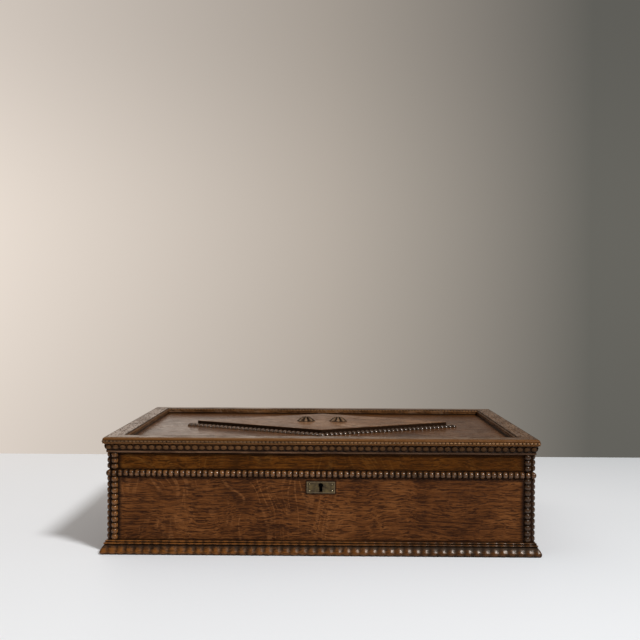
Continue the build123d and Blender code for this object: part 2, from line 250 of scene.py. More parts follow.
def board_oak(name, along, stain=STAINED, ray=PALE_RAY, shift=(0, 0, 0), rays=1.0, slant=0.3, gloss=0.42,
              shine=0.06, wax=0.0, end_shade=0.0, fade=None, between=None, plate=None, shade_below=None, bare=True,
              under=None):
    """Quarter-sawn oak, stained and waxed, and bare inside the walls, or below the height under.

    The end_shade is how much shade is painted over its right end, and fade is where its rays thin out towards
    the right. Between holds the heights of the mouldings below and above it, along which shade is painted,
    plate is the box of a plate on its face, round which shade is painted, and shade_below is the height below
    which shade is painted.
    """
    place, fill = new_material(name)
    x, y, z = place.axes()
    fibre, pores, rings, drift = oak_figure(place, along, shift)
    tone = fibre * 0.30 + rings * 0.42 + drift * 0.28
    ribbons = medullary_rays(place, along, shift, slant) * (fibre.rise(0.30, 0.55) * rays)
    if fade is not None:
        ribbons = ribbons * (1 - x.rise(fade - 0.08, fade + 0.08) * 0.8)
    colour = ribbons.mix(oak_tones(tone, stain), ray)
    colour = (pores * 0.85).mix(colour, stain[0])
    roughness = fibre * 0.16 + pores * 0.14 + (gloss - 0.1)
    # Painted shade along the mouldings above and below the board.
    if between:
        colour = (joint_shade(x, y, z, along, between) * 0.9).mix(colour, JOINT_SHADE)
    # Painted shade on the wood round the plate.
    if plate:
        colour = (plate_shade(x, z, plate) * 0.85).mix(colour, JOINT_SHADE)
    # Painted shade over the right end.
    if end_shade:
        colour = (x.rise(-0.08, 0.24) * end_shade).mix(colour, stain[0])
    top = 1.0
    if bare or under:
        inside = 1 - z.rise(under, under + 0.2 * MM) if under else within_walls(x, y)
        aged = (tone.rise(0.43, 0.57) * 0.75).mix(*BARE_OAK)
        aged = (pores * 0.45).mix(aged, BARE_PORE)
        colour = inside.mix(colour, aged)
        roughness = roughness + inside * 0.25
        top = 1 - inside
    # Painted shade on the sides below that height.
    if shade_below:
        top = z.rise(shade_below - 0.5 * MM, shade_below)
        colour = (1 - top).mix(colour, SIDE_SHADE)
    sockets = {"Base_Color": colour, "Roughness": roughness, "Specular_IOR_Level": shine}
    if wax:
        sheen = (1 - pores * 0.7) * (ribbons * 0.7 + rings.rise(0.40, 0.60) * 0.3 + 0.68)
        sockets["Coat_Weight"] = sheen * top * (1.15 - x.rise(-0.17, 0.13) * 0.8) * wax
        sockets["Coat_Roughness"] = 0.17
    return fill(fibre * 0.5 - pores * 0.7, depth=0.18 * MM, **sockets)


def dress(node, material, arris=0.25):
    """Give a solid of the box its finish, with its arrises eased by that many millimetres."""
    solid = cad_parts[node]
    solid.data.materials.clear()
    solid.data.materials.append(material)
    weld = solid.modifiers.new("weld", "WELD")
    weld.merge_threshold = 0.001 * MM
    ease = solid.modifiers.new("eased arrises", "BEVEL")
    ease.width = arris * MM
    ease.segments = 2
    ease.limit_method = "ANGLE"
    ease.angle_limit = radians(40)
    ease.harden_normals = True
    return solid


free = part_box("plinth_front")[1].z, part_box("bobbin_rail_front")[0].z
# Painted shade along its mouldings, round the escutcheon and over its right end.
front_oak = board_oak("front board oak", "x", rays=0.9, slant=0.05, end_shade=0.12, fade=0.02, between=free,
                      plate=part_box("escutcheon"))
dress("front_board", front_oak)
dress("back_board", board_oak("back board oak", "x", shift=(0.31, 0.2, 0.05)))
# Painted shade along the mouldings of the side boards.
dress("left_board", board_oak("left board oak", "y", shift=(0.4, 0.1, 0.7), between=free))
dress("right_board", board_oak("right board oak", "y", shift=(0.1, 0.5, 0.3), between=free))
dress("bottom_board", board_oak("bottom board oak", "x", shift=(0.6, 0.3, 0.2), rays=0.4))


# ---- Plinth ----
# Four lengths of ripple moulding, mitred round the foot of the carcase: a bullnosed skirt that
# splays to the table, and two fine beads stepped above it, all crossed by the same close waves.

plinth_low, plinth_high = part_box("plinth_front")
plinth_out = -half_depth - plinth_low.y
plinth_top = plinth_high.z
foot_inset = 1.7 * MM
nose_radius = 2.7 * MM
nose_height = 2.8 * MM
skirt_foot = 4.5 * MM
skirt_inset = 0.6 * MM
skirt_splay = 4.5 * MM
skirt_bulge = 0.45 * MM
skirt_wave = 0.85 * MM
groove_out = 3.0 * MM
bead_radius = 1.15 * MM
bead_wave = 0.35 * MM
lower_bead_out = 4.3 * MM
upper_bead_out = 2.7 * MM
ripple_pitch = 9.4 * MM
half_runs = {"front": half_length, "back": half_length, "left": half_depth, "right": half_depth}
grain = {"front": "x", "back": "x", "left": "y", "right": "y"}


def bump_wave(share):
    """The height of one wave or bead, 0 in the groove and 1 on the crest, round between them."""
    return sqrt(max(0.0, 1 - (2 * share - 1) ** 2))


def ripple_wave(share):
    """The height of one ripple, with a hollow between crests as round as they are."""
    return (1 - cos(2 * pi * share)) / 2


def bead_stations(start, end, pitch, steps, wave=bump_wave):
    """(station, crest) along a run of whole beads, closer together towards each groove."""
    beads = max(1, round((end - start) / pitch))
    pitch = (end - start) / beads
    shares = [(1 - cos(pi * step / steps)) / 2 for step in range(steps)]
    stations = [(start + (bead + share) * pitch, wave(share)) for bead in range(beads) for share in shares]
    return stations + [(end, wave(0.0))]


def on_side(side, square_back=False):
    """Turns (along, out, up) on a side of the box into a place, mitred at the corners."""
    half_run = half_runs[side]

    def place(along, out, up):
        limit = half_run + out
        along = max(-limit, min(half_run if square_back else limit, along))
        if side == "front":
            return Vector((along, -half_depth - out, up))
        if side == "back":
            return Vector((along, half_depth + out, up))
        return Vector((half_length + out if side == "right" else -half_length - out, along, up))

    return place


def capped_rings(count, rings, first=0):
    """Faces round a stack of closed rings of points, with a cap at each end."""
    last = first + (rings - 1) * count
    faces = [tuple(range(first, first + count)), tuple(range(last, last + count))]
    for start in range(first, last, count):
        for edge in range(count):
            follower = (edge + 1) % count
            faces.append((start + edge, start + follower, start + count + follower, start + count + edge))
    return faces


def wear_and_shade_mesh(name, points, wear_and_shade, faces):
    """A mesh that carries each point's rubbing and painted shade, from 0 in a hollow or in painted shade to 1
    on a crest.
    """
    mesh = bpy.data.meshes.new(name)
    mesh.from_pydata(points, [], faces)
    mesh.attributes.new("wear_and_shade", "FLOAT", "POINT").data.foreach_set("value", wear_and_shade)
    return mesh


def strip(name, rings, place, body, material):
    """A closed bar of moulding through rings of (along, out, up, rubbing and painted shade)."""
    points = [place(*point[:3]) for ring in rings for point in ring]
    wear_and_shade = [point[3] for ring in rings for point in ring]
    mesh = wear_and_shade_mesh(name, points, wear_and_shade, capped_rings(len(rings[0]), len(rings)))
    return finish_piece(name, mesh, body, material)


def finish_piece(name, mesh, body, material, crease=50):
    """Turn a mesh into a smooth piece that rides on its body."""
    shape = bmesh.new()
    shape.from_mesh(mesh)
    bmesh.ops.recalc_face_normals(shape, faces=shape.faces)
    shape.to_mesh(mesh)
    shape.free()
    mesh.materials.append(material)
    mesh.shade_smooth()
    mesh.set_sharp_from_angle(angle=radians(crease))
    piece = bpy.data.objects.new(name, mesh)
    bpy.context.scene.collection.objects.link(piece)
    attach(piece, body)
    return piece


WAX_TINT = (1.0, 0.80, 0.60, 1)
# Old wax in the hollows, and painted shade where a mesh carries it.
HOLLOW_WAX_AND_SHADE = (0.013, 0.005, 0.0018)
PORE_WAX = (0.018, 0.007, 0.003)
# The brown of painted shade, over one end of a moulding and in the frame's steps and quirks.
SHADE_BROWN = (0.010, 0.005, 0.0025)


def moulding_oak(name, along, crest, gloss, shine, low, top, end_shade=0.0, polish=0.0):
    """Stained oak, dark with old wax and, where its mesh carries it, painted shade in its hollows, and rubbed
    paler and glossier on its crests.

    The wood is rubbed where the value its mesh carries lies between low and top. The end_shade paints shade
    over its right end, or its left end where it is negative, and polish gives the crests a gloss of their
    own.
    """
    place, fill = new_material(name)
    fibre, pores, rings, drift = oak_figure(place, along, (0.2, 0.3, 0.1))
    wear_and_shade = place.node("ShaderNodeAttribute", {}, out=2, attribute_name="wear_and_shade")
    patchy = place.noise(420, 3, 0.6)
    rubbed = (wear_and_shade + (patchy - 0.5) * 1.0 + (drift - 0.5) * 0.7 + (rings - 0.5) * 0.9).rise(low, top)
    colour = rubbed.mix(HOLLOW_WAX_AND_SHADE, crest)
    colour = (pores * 0.5).mix(colour, PORE_WAX)
    # Painted shade over the right end, or over the left end for a negative amount.
    if end_shade:
        right = place.axes()[0].rise(-0.12, 0.16)
        colour = ((right if end_shade > 0 else 1 - right) * abs(end_shade)).mix(colour, SHADE_BROWN)
    roughness = (1 - rubbed) * 0.3 + fibre * 0.12 + (gloss - 0.06)
    return fill(fibre * 0.6 - pores * 0.5, depth=0.08 * MM, Base_Color=colour, Roughness=roughness,
                Specular_IOR_Level=shine, Specular_Tint=WAX_TINT, Coat_Weight=rubbed * polish,
                Coat_Roughness=0.21)


def arc(centre, radius, start, end, steps):
    """Points round a centre from one angle to another, in degrees from straight out."""
    for step in range(steps + 1):
        angle = radians(start + (end - start) * step / steps)
        yield centre[0] + radius * cos(angle), centre[1] + radius * sin(angle)


def plinth_ring(along, crest):
    """One section of the plinth moulding, drawn in where the wave is low, with painted shade carried in its
    values at the foot of the skirt, at the top of the skirt under the beads, in the groove and on the lower
    half of each bead.
    """
    skirt = skirt_wave * (1 - crest)
    groove = plinth_top - 4 * bead_radius
    ring = [(along, 0.0, 0.0, 0.0), (along, plinth_out - foot_inset, 0.0, 0.0)]
    for out, up in arc((plinth_out - nose_radius, nose_height), nose_radius, -60, 28, 6):
        # Painted shade darkens the nose towards the table.
        wear_and_shade = min(1.0, up / (1.8 * MM)) * (0.5 + 0.5 * crest)
        ring.append((along, out - skirt * 0.8, max(0.0, up), wear_and_shade))
    for share in (0.1, 0.3, 0.5, 0.7, 0.85, 1.0):
        out = plinth_out - skirt_inset - share * skirt_splay + skirt_bulge * sin(pi * share)
        up = skirt_foot + share * (groove - skirt_foot)
        # Painted shade darkens the skirt towards the groove under the beads.
        wear_and_shade = (0.45 + 0.55 * crest) * (1 - share ** 1.6)
        ring.append((along, out - skirt * (1 - 0.4 * share), up, wear_and_shade))
    # Painted shade in the groove.
    ring.append((along, groove_out, groove, -0.3))
    for seat, foot in ((lower_bead_out, groove), (upper_bead_out, groove + 2 * bead_radius)):
        for out, up in arc((seat, foot + bead_radius), bead_radius - bead_wave * (1 - crest), -80, 90, 6):
            # Painted shade darkens each bead towards its foot.
            ring.append((along, out, up, -0.1 + (0.8 + 0.4 * crest) * (up - foot) / (1.8 * MM)))
        ring.append((along, seat - 1.1 * MM, foot + 2.2 * MM, -0.1))
    ring.append((along, 0.0, plinth_top - 0.1 * MM, 0.0))
    return ring


# Painted shade darkens the plinth towards the right end.
plinth_oak = {
    axis: moulding_oak(f"plinth oak {axis}", axis, crest=(0.165, 0.058, 0.0112), gloss=0.24, shine=0.16,
                       low=0.15, top=1.00, end_shade=0.60, polish=0.20)
    for axis in "xy"
}
for side, half_run in half_runs.items():
    reach = half_run + plinth_out
    stations = bead_stations(-reach, reach, ripple_pitch, 8, ripple_wave)
    rings = [plinth_ring(along, crest) for along, crest in stations]
    plinth = strip(f"ripple_plinth_{side}", rings, on_side(side), "base", plinth_oak[grain[side]])
    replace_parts(plinth, f"plinth_{side}")


# ---- Bobbin mouldings of the base ----
# Rows of round beads turned in the lathe, split down the middle and glued flat side down: a rail
# round the rim, mitred at the front corners, and upright rows on the front and sides at each corner.

rail_low, rail_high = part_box("bobbin_rail_front")
rail_height = (rail_low.z + rail_high.z) / 2
bobbin_radius = (rail_high.z - rail_low.z) / 2
bobbin_waist = 0.42 * bobbin_radius
bobbin_pitch = 6.2 * MM
bobbin_steps = 9
bobbin_sides = 11
corners = ("front_left", "front_right", "left_front", "left_back", "right_front", "right_back")
# Painted shade darkens the rails and the upright rows towards the right end.
bobbin_oak = {
    axis: moulding_oak(f"bobbin oak {axis}", axis, crest=(0.170, 0.068, 0.0180), gloss=0.26, shine=0.16,
                       low=0.50, top=1.10, end_shade=0.45, polish=0.85)
    for axis in "xy"
}
bobbin_oak["z"] = moulding_oak("corner bobbin oak", "z", crest=(0.176, 0.068, 0.0165), gloss=0.26, shine=0.16,
                               low=0.26, top=1.05, end_shade=0.80, polish=0.55)


def bobbin_rings(start, end):
    """Half-round sections of (along, out, across, rubbing) down a row of bobbins."""
    angles = [pi * side / bobbin_sides for side in range(bobbin_sides + 1)]
    rings = []
    for along, crest in bead_stations(start, end, bobbin_pitch, bobbin_steps):
        radius = bobbin_waist + (bobbin_radius - bobbin_waist) * crest
        rings.append([(along, radius * sin(angle), radius * cos(angle), crest) for angle in angles])
    return rings


def rail(side, square_back):
    """A level row of bobbins along one side of the rim."""
    half_run = half_runs[side]
    end = half_run if square_back else half_run + bobbin_radius
    on_wall = on_side(side, square_back)
    row = strip(f"turned_rail_{side}", bobbin_rings(-half_run - bobbin_radius, end),
                lambda along, out, across: on_wall(along, out, rail_height + across), "base",
                bobbin_oak[grain[side]])
    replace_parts(row, f"bobbin_rail_{side}")


def upright(corner, body):
    """An upright row of bobbins in place of its plain solid, on the face that the solid stands on."""
    node = f"{body}_bobbins_{corner}"
    low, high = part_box(node)
    middle = (low + high) / 2
    sign = 1 if middle.x > 0 else -1

    def place(along, out, across):
        if corner.startswith("front"):
            return Vector((middle.x + across, -half_depth - out, along))
        return Vector((sign * (half_length + out), middle.y + across, along))

    row = strip(f"turned_{body}_{corner}", bobbin_rings(low.z, high.z), place, body, bobbin_oak["z"])
    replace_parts(row, node)


rail("front", square_back=False)
rail("left", square_back=True)
rail("right", square_back=True)
for corner in corners:
    upright(corner, "base")


# ---- Escutcheon and lock ----
# A thin brass plate held by four pins round the keyhole, and behind it a small box lock: a brass
# plate with its selvedge let into the rim, an iron cap and bolt, and a link plate on the lid.

plate_low, plate_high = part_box("escutcheon")
plate_middle, plate_half = (plate_low + plate_high) / 2, (plate_high - plate_low) / 2
pin_radius = 0.95 * MM
pin_inset = Vector((3.05 * MM, 0, 2.8 * MM))
keyhole_top = sum(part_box("drill_pin"), Vector()) / 2
keyhole_radius = 2.4 * MM
keyhole_half_slot = 1.45 * MM
keyhole_drop = 6.8 * MM
METAL_SPECK = (0.02, 0.017, 0.012)
DARK_HOLE = (0.0015, 0.0012, 0.001)
BRASS = (0.080, 0.053, 0.022), (0.185, 0.130, 0.058)
RUBBED_BRASS = (0.16, 0.115, 0.060), (0.42, 0.33, 0.20)
STEEL = (0.018, 0.017, 0.016), (0.06, 0.057, 0.054)
BLACK_IRON = (0.003, 0.003, 0.003), (0.006, 0.006, 0.005)


def keyhole_shadow(place, spread):
    """1 in the keyhole and round it, fading out over the spread."""
    x, _, z = place.axes()
    bow = 1 - place.stretch((1, 0, 1), -keyhole_top).length().rise(keyhole_radius, keyhole_radius + spread)
    slot = 1 - abs(x).rise(keyhole_half_slot, keyhole_half_slot + spread)
    below = 1 - z.rise(keyhole_top.z, keyhole_top.z + MM)
    above = (z - keyhole_top.z + keyhole_drop).rise(-0.9 * MM, -0.3 * MM)
    return greater(bow, slot * below * above)


def aged_metal(name, colours, roughness=0.42, keyhole=False):
    """Old metal, tarnished all over in soft patches, with the bare metal showing where it is rubbed."""
    place, fill = new_material(name)
    patches = place.noise(260, 4, 0.6).rise(0.35, 0.72)
    specks = place.noise(1700, 3, 0.6)
    scratches = place.stretch((1, 1, 0.06), (1, 2, 3)).noise(1900, 3, 0.6)
    colour = patches.mix(*colours)
    colour = (specks.rise(0.60, 0.75) * 0.7).mix(colour, METAL_SPECK)
    rough = specks * 0.2 + scratches * 0.1 + (roughness - 0.15) - patches * 0.08
    if keyhole:
        colour = keyhole_shadow(place, 3 * MM).mix(colour, DARK_HOLE)
    return fill(specks + scratches * 0.5, depth=0.03 * MM, Base_Color=colour, Metallic=0.85, Roughness=rough)


def escutcheon_brass():
    """Old brass, rubbed along the plate's edges where a highlight is painted as well, darker in rings round
    the pins, and with painted shade in and round the keyhole.
    """
    place, fill = new_material("escutcheon brass")
    x, _, z = place.axes()
    patches = place.noise(210, 4, 0.6).rise(0.38, 0.66)
    specks = place.noise(1500, 3, 0.6)
    across, up = abs(x - plate_middle.x), abs(z - plate_middle.z)
    # The plate's edges are rubbed brass with a painted highlight.
    rim_rub_and_highlight = greater(across - plate_half.x, up - plate_half.z).rise(-1.3 * MM, -0.5 * MM)
    from_pin = {0: across - plate_half.x + pin_inset.x, 1: 0.0, 2: up - plate_half.z + pin_inset.z}
    from_pin = place.node("ShaderNodeCombineXYZ", from_pin)
    round_pins = 1 - from_pin.length().rise(pin_radius + 0.1 * MM, pin_radius + 0.7 * MM)
    # Painted shade in and round the keyhole, and darker rings round the pins.
    keyhole_shade_and_pin_rings = greater(keyhole_shadow(place, 0.6 * MM), round_pins * 0.85)
    colour = patches.mix((0.066, 0.046, 0.026), (0.140, 0.098, 0.042))
    colour = (rim_rub_and_highlight * specks.rise(0.35, 0.6) * 0.6).mix(colour, (0.29, 0.215, 0.130))
    colour = (specks.rise(0.56, 0.70) * 0.7).mix(colour, (0.02, 0.016, 0.010))
    colour = (keyhole_shade_and_pin_rings * 0.95).mix(colour, (0.003, 0.002, 0.0015))
    return fill(specks + patches * 0.6, depth=0.04 * MM, Base_Color=colour, Metallic=0.85,
                Roughness=specks * 0.25 + 0.28 - rim_rub_and_highlight * 0.08)


aged_brass = aged_metal("aged brass", BRASS, roughness=0.45)
dark_steel = aged_metal("dark steel", STEEL, roughness=0.45)
pin_brass = aged_metal("pin brass", RUBBED_BRASS, roughness=0.32)
black_iron = aged_metal("black iron", BLACK_IRON, roughness=0.8)
dress("escutcheon", escutcheon_brass(), arris=0.3)
dress("lock_plate", aged_metal("lock brass", BRASS, roughness=0.45, keyhole=True), arris=0.15)
for node in ("link_plate", "staple_left", "staple_right"):
    dress(node, aged_brass, arris=0.15)
dress("drill_pin", black_iron, arris=0.1)
dress("lock_cap", aged_metal("lock iron", STEEL, roughness=0.45, keyhole=True), arris=0.1)
dress("lock_bolt", dark_steel, arris=0.1)

head_sides = 20
# The screw slots are a dark face on each head, painted shade where a slot would be cut.
slot_place, slot_fill = new_material("slot shade")
slot_tone = slot_place.noise(900, 2).mix((0.006, 0.005, 0.004), (0.016, 0.013, 0.010))
slot_shade = slot_fill(Base_Color=slot_tone, Roughness=0.85)


def turned_head(name, profile, centre, facing, body, material, slotted=0.0):
    """A small brass head turned to a profile of (radius, height), with a screwdriver slot if it has one,
    drawn as a dark face of painted shade on its top.
    """
    turns = {
        "up": lambda point: point,
        "down": lambda point: Vector((point.x, point.y, -point.z)),
        "front": lambda point: Vector((point.x, -point.z, point.y)),
        "back": lambda point: Vector((point.x, point.z, -point.y)),
    }
    mesh = bpy.data.meshes.new(name)
    shape = bmesh.new()
    angles = [2 * pi * side / head_sides for side in range(head_sides)]
    rings = [[shape.verts.new((radius * cos(a), radius * sin(a), height)) for a in angles]
             for radius, height in profile]
    for inner, outer in zip(rings, rings[1:]):
        for side in range(head_sides):
            follower = (side + 1) % head_sides
            shape.faces.new((inner[side], inner[follower], outer[follower], outer[side]))
    shape.faces.new(rings[0])
    shape.faces.new(rings[-1])
    if slotted:
        half_slot, top = profile[-1][0] * 0.93, profile[-1][1] + 0.01 * MM
        outline = ((-half_slot, -slotted), (half_slot, -slotted), (half_slot, slotted), (-half_slot, slotted))
        shape.faces.new([shape.verts.new((x, y, top)) for x, y in outline]).material_index = 1
    for vertex in shape.verts:
        vertex.co = centre + turns[facing](vertex.co)
    shape.to_mesh(mesh)
    shape.free()
    piece = finish_piece(name, mesh, body, material, crease=35)
    if slotted:
        piece.data.materials.append(slot_shade)


pin_dome = [(pin_radius * cos(a), pin_radius * 0.55 * sin(a)) for a in (0, 0.35, 0.75, 1.15, 1.45)]
pin_reach = plate_half - pin_inset
for row, z_sign in (("lower", -1), ("upper", 1)):
    for column, x_sign in (("left", -1), ("right", 1)):
        along, height = plate_middle.x + x_sign * pin_reach.x, plate_middle.z + z_sign * pin_reach.z
        turned_head(f"escutcheon_pin_{row}_{column}", pin_dome, Vector((along, plate_low.y, height)), "front",
                    "base", pin_brass)


# ---- Hinges ----
# Two brass butt hinges, let into the back walls flush with their edges, each leaf held by three
# countersunk brass screws, with a steel pin through the knuckles. The lock has the same screws.

screw_radius = 2.2 * MM
screw_slot = 0.3 * MM
screw_head = [(screw_radius, 0.0), (screw_radius, 0.05 * MM), (screw_radius * 0.97, 0.09 * MM)]
screw_spacing = 17 * MM
screw_stagger = 0.8 * MM
screw_row = half_depth - 4.6 * MM
lid_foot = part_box("lid_frieze_back")[0].z


def screw(name, centre, facing, body):
    turned_head(name, screw_head, Vector(centre), facing, body, aged_brass, screw_slot)


for hand in ("left", "right"):
    dress(f"hinge_pin_{hand}", dark_steel, arris=0.1)
    for leaf, face, facing in (("base", rim, "up"), ("lid", lid_foot, "down")):
        dress(f"hinge_leaf_{leaf}_{hand}", aged_brass, arris=0.15)
        low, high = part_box(f"hinge_leaf_{leaf}_{hand}")
        for index in (-1, 0, 1):
            row = screw_row + (screw_stagger if index == 0 else -screw_stagger)
            centre = ((low.x + high.x) / 2 + index * screw_spacing, row, face)
            screw(f"hinge_screw_{leaf}_{hand}_{index + 2}", centre, facing, leaf)

lock_low, lock_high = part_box("lock_plate")
link_low, link_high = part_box("link_plate")
lock_screw_inset = 4.5 * MM
for column, sign in (("left", -1), ("right", 1)):
    along = sign * (lock_high.x - lock_screw_inset)
    screw(f"selvedge_screw_{column}", (along, lock_low.y + 5.2 * MM, rim), "up", "base")
    link = (sign * (link_high.x - lock_screw_inset), (link_low.y + link_high.y) / 2, link_low.z)
    screw(f"link_screw_{column}", link, "down", "lid")
    for row, height in (("lower", lock_low.z + 5 * MM), ("upper", rim - 11 * MM)):
        screw(f"lock_screw_{row}_{column}", (along, lock_high.y, height), "back", "base")


# ---- Lid walls ----
# Plain boards of a redder oak, mitred like the carcase, with a short upright row of three bobbins
# on the front and sides at each corner.

REDDER = (0.030, 0.0100, 0.0016), (0.073, 0.0225, 0.0030), (0.128, 0.044, 0.0060)
REDDER_RAY = (0.17, 0.073, 0.015)
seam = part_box("lid_bobbins_front_left")
frieze_shifts = {
    "front": (0.2, 0.7, 0.1), "back": (0.5, 0.1, 0.3), "left": (0.1, 0.9, 0.4), "right": (0.8, 0.3, 0.6),
}
for side, shift in frieze_shifts.items():
    # Painted shade below the cornice, above the lid's foot and over the right end.
    frieze_oak = board_oak(f"lid {side} oak", grain[side], REDDER, REDDER_RAY, shift, rays=0.35, shine=0.03,
                           end_shade=0.30, between=(seam[0].z, seam[1].z))
    dress(f"lid_frieze_{side}", frieze_oak)
for corner in corners:
    upright(corner, "lid")


# ---- Cornice ----
# A square fillet and a cove that spreads out under the lid's frame, with a row of small carved
# roundels, one beside the next, set in the hollow of the cove.

cornice_low, cornice_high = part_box("cornice_front")
cornice_out = -half_depth - cornice_low.y
roundel_pitch = 7.77 * MM
roundel_half_width = 3.3 * MM
roundel_half_height = 2.75 * MM
roundel_rise = 1.1 * MM
roundel_sides = 16
roundel_levels = 5
cove_lean = radians(20)
cove_sag = 0.2 * MM
cove_foot_out = 3.0 * MM
cove_foot_up = cornice_low.z + 2.4 * MM
cove_middle_out = (cove_foot_out + cornice_out) / 2
cove_middle_up = (cove_foot_up + cornice_high.z) / 2 - 0.3 * MM


def roundels(name, side, material):
    """A row of cushion-shaped buttons in the cove of one side."""
    reach = half_runs[side] + cove_middle_out
    count = round(2 * reach / roundel_pitch)
    pitch = 2 * reach / count
    place = on_side(side)
    points, wear_and_shade, faces = [], [], []
    for button in range(count):
        middle = -reach + (button + 0.5) * pitch
        faces += capped_rings(roundel_sides, roundel_levels + 1, len(points))
        for level in range(roundel_levels + 1):
            climb_angle = pi / 2 * level / (roundel_levels + 1)
            spread = cos(climb_angle)
            lift = sin(climb_angle) ** 0.8 * roundel_rise
            for turn in range(roundel_sides):
                angle = 2 * pi * turn / roundel_sides
                along = middle + roundel_half_width * spread * cos(angle)
                climb = roundel_half_height * spread * sin(angle)
                out = cove_middle_out - cove_sag + lift * cos(cove_lean) + climb * sin(cove_lean)
                up = cove_middle_up - lift * sin(cove_lean) + climb * cos(cove_lean)
                points.append(place(along, out, up))
                wear_and_shade.append(level / roundel_levels)
    return finish_piece(name, wear_and_shade_mesh(name, points, wear_and_shade, faces), "lid", material)


# Painted shade darkens the roundels towards the right end.
roundel_oak = moulding_oak("roundel oak", "x", crest=(0.118, 0.052, 0.019), gloss=0.36, shine=0.12,
                           low=-0.35, top=0.8, end_shade=0.55)
CORNICE = (0.022, 0.0082, 0.0026), (0.070, 0.0280, 0.0100)
FILLET_HIGHLIGHT = (0.130, 0.066, 0.034)
COVE_SHADE = (0.008, 0.0035, 0.0015)


def cornice_oak(name, along):
    """Dark stained oak, with a painted highlight along the face of the fillet, painted shade in the foot of
    the cove, and painted shade towards the right end.
    """
    place, fill = new_material(name)
    x, _, z = place.axes()
    fibre, pores, rings, _ = oak_figure(place, along, (0.5, 0.2, 0.6))
    height = z - cornice_low.z
    colour = rings.rise(0.35, 0.65).mix(*CORNICE)
    fillet = height.band(0.7 * MM, 0.7 * MM, 1.2 * MM)
    # Painted highlight along the face of the fillet.
    colour = (fillet * (rings.rise(0.4, 0.6) * 0.6 + 0.35)).mix(colour, FILLET_HIGHLIGHT)
    # Painted shade in the foot of the cove.
    colour = (height.band(2.9 * MM, 0.8 * MM, 1.4 * MM) * 0.8).mix(colour, COVE_SHADE)
    # Painted shade towards the right end.
    colour = (x.rise(-0.12, 0.16) * 0.52).mix(colour, SHADE_BROWN)
    return fill(fibre * 0.5 - pores * 0.7, depth=0.15 * MM, Base_Color=colour, Roughness=fibre * 0.2 + 0.32,
                Specular_IOR_Level=0.10)


for side, along in grain.items():
    dress(f"cornice_{side}", cornice_oak(f"cornice oak {side}", along), arris=0.2)
    roundels(f"roundels_{side}", side, roundel_oak)


# ---- Lid frame ----
# Four broad mitred rails over the cornice, with an ovolo on the outer edge, a row of small beads
# below it, and a fine rippled bead along the step down to the panel.

frame_low, frame_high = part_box("lid_frame_front")
frame_out = -half_depth - frame_low.y
frame_in = frame_high.y + half_depth
fine_bead_pitch = 4.15 * MM
edge_bead_radius = 1.1 * MM
edge_bead_out = frame_out - 0.2 * MM
edge_bead_height = frame_high.z - 4.6 * MM
inner_bead_radius = 1.25 * MM
inner_bead_out = -frame_in + 1.2 * MM
inner_bead_height = frame_high.z - 2.0 * MM


def bead_strip(name, side, out, up, radius, turn, material):
    """A fine row of half-round beads, whose round side is turned up by that many degrees from outward."""
    reach = half_runs[side] + (out if out < 0 else out + radius)
    rings = []
    for along, crest in bead_stations(-reach, reach, fine_bead_pitch, 6):
        half_round = arc((out, up), radius * (0.45 + 0.55 * crest), turn - 90, turn + 90, 6)
        rings.append([(along, point_out, point_up, crest) for point_out, point_up in half_round])
    return strip(name, rings, on_side(side), "lid", material)


FRAME_TOP = (0.031, 0.012, 0.0036), (0.102, 0.042, 0.0130), (0.190, 0.090, 0.034)
FRAME_RAY = (0.22, 0.13, 0.075)
FRAME_EDGE = (0.118, 0.045, 0.0105)
ARRIS_HIGHLIGHT = (0.20, 0.108, 0.052)
ARRIS_SHADE = (0.014, 0.008, 0.005)


